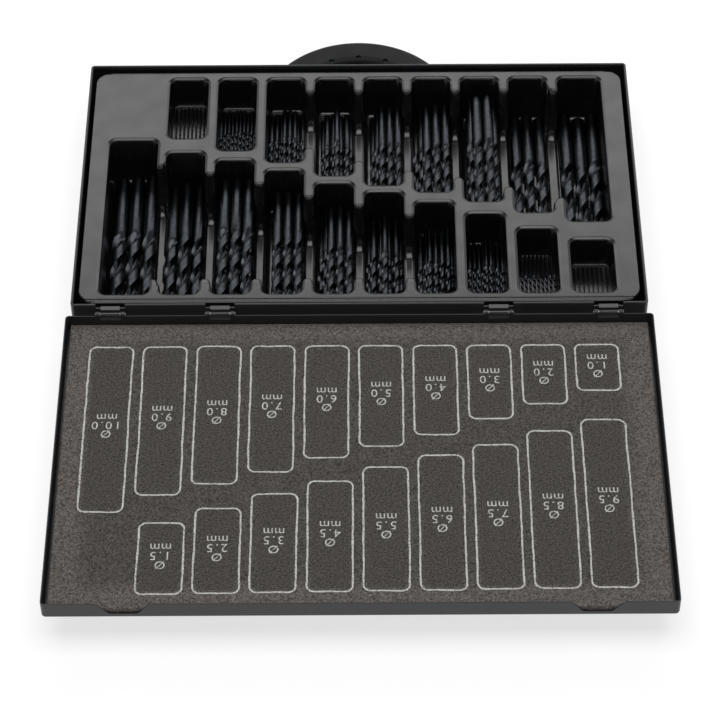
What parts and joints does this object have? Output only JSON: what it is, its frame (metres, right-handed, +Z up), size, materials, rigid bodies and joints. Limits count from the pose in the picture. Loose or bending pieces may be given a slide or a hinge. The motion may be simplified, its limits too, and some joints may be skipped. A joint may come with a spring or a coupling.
{
  "type": "drill bit case",
  "caption": "Folding sheet-steel case with a carrying handle, two latches and a formed tray of graded twist drills, lying open.",
  "frame": {"origin": "centre of the base's flat underside, on the surface that the case lies on", "axes": "+Z up; +Y from the handle and latches towards the hinge and the open lid; +X towards the thickest drills"},
  "size_m": [0.38, 0.5027, 0.044],
  "materials": {
    "case_enamel": "dark grey-black enamel, satin",
    "fitting_enamel": "dark grey-black enamel, satin",
    "pin_steel": "bright drawn wire",
    "tray_plastic": "thermoformed sheet, glossy black",
    "handle_plastic": "moulded black plastic, satin",
    "foam": "fine-celled grey-brown foam with white printing",
    "drill_steel": "steam-tempered black oxide on high-speed steel, satin"
  },
  "bodies": {
    "base": {"base_pan": "case_enamel", "drill_tray": "tray_plastic", "hinge_straps": "fitting_enamel", "handle_brackets": "fitting_enamel", "handle_pins": "pin_steel", "handle_rivets": "pin_steel", "latch_brackets": "fitting_enamel", "latch_pins": "pin_steel", "latch_rivets": "pin_steel", "drills_1_0": "drill_steel", "drills_1_5": "drill_steel", "drills_2_0": "drill_steel", "drills_2_5": "drill_steel", "drills_3_0": "drill_steel", "drills_3_5": "drill_steel", "drills_4_0": "drill_steel", "drills_4_5": "drill_steel", "drills_5_0": "drill_steel", "drills_5_5": "drill_steel", "drills_6_0": "drill_steel", "drills_6_5": "drill_steel", "drills_7_0": "drill_steel", "drills_7_5": "drill_steel", "drills_8_0": "drill_steel", "drills_8_5": "drill_steel", "drills_9_0": "drill_steel", "drills_9_5": "drill_steel", "drills_10_0": "drill_steel"},
    "lid": {"lid_pan": "case_enamel", "foam_pad": "foam", "hinge_pins": "pin_steel"},
    "latch_left": {"latch_left": "fitting_enamel"},
    "latch_right": {"latch_right": "fitting_enamel"},
    "handle": {"handle": "handle_plastic"}
  },
  "joints": [
    {"name": "lid_hinge", "type": "hinge", "parent": "base", "child": "lid", "pos_m": [0, 0.1162, 0.0384], "axis": [1, 0, 0], "range_deg": [0, 180]},
    {"name": "latch_left_pivot", "type": "hinge", "parent": "base", "child": "latch_left", "pos_m": [-0.141, -0.11705, 0.028], "axis": [-1, 0, 0], "range_deg": [0, 180]},
    {"name": "latch_right_pivot", "type": "hinge", "parent": "base", "child": "latch_right", "pos_m": [0.141, -0.11705, 0.028], "axis": [-1, 0, 0], "range_deg": [0, 180]},
    {"name": "handle_pivot", "type": "hinge", "parent": "base", "child": "handle", "pos_m": [0, -0.1217, 0.022], "axis": [-1, 0, 0], "range_deg": [-90, 90]}
  ]
}
